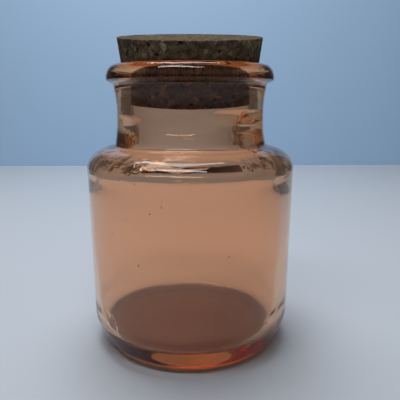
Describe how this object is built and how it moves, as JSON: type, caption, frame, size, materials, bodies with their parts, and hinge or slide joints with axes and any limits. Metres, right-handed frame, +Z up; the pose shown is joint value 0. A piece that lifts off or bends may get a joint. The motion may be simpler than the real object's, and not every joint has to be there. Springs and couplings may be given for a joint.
{
  "type": "corked glass bottle",
  "caption": "Squat wide-mouth bottle of tinted moulded glass with a rolled lip, waisted neck, rounded shoulder and heel, closed by a tapered cork set slightly crooked.",
  "frame": {"origin": "centre of the foot ring, on the plane the bottle stands on", "axes": "+Z up along the axis of the bottle, +X to the right and -Y to the front, the side the cork leans towards"},
  "size_m": [0.076, 0.076, 0.1166],
  "materials": {
    "tinted_glass": "glossy, slightly wavy old glass, rose amber tint",
    "cork": "matt, granular agglomerated cork"
  },
  "bodies": {
    "bottle": {"glass_bottle": "tinted_glass"},
    "stopper": {"cork_stopper": "cork"}
  },
  "joints": [
    {"name": "stopper_lift", "type": "slide", "parent": "bottle", "child": "stopper", "axis": [0, 0, 1], "range_m": [0, 0.06]}
  ]
}
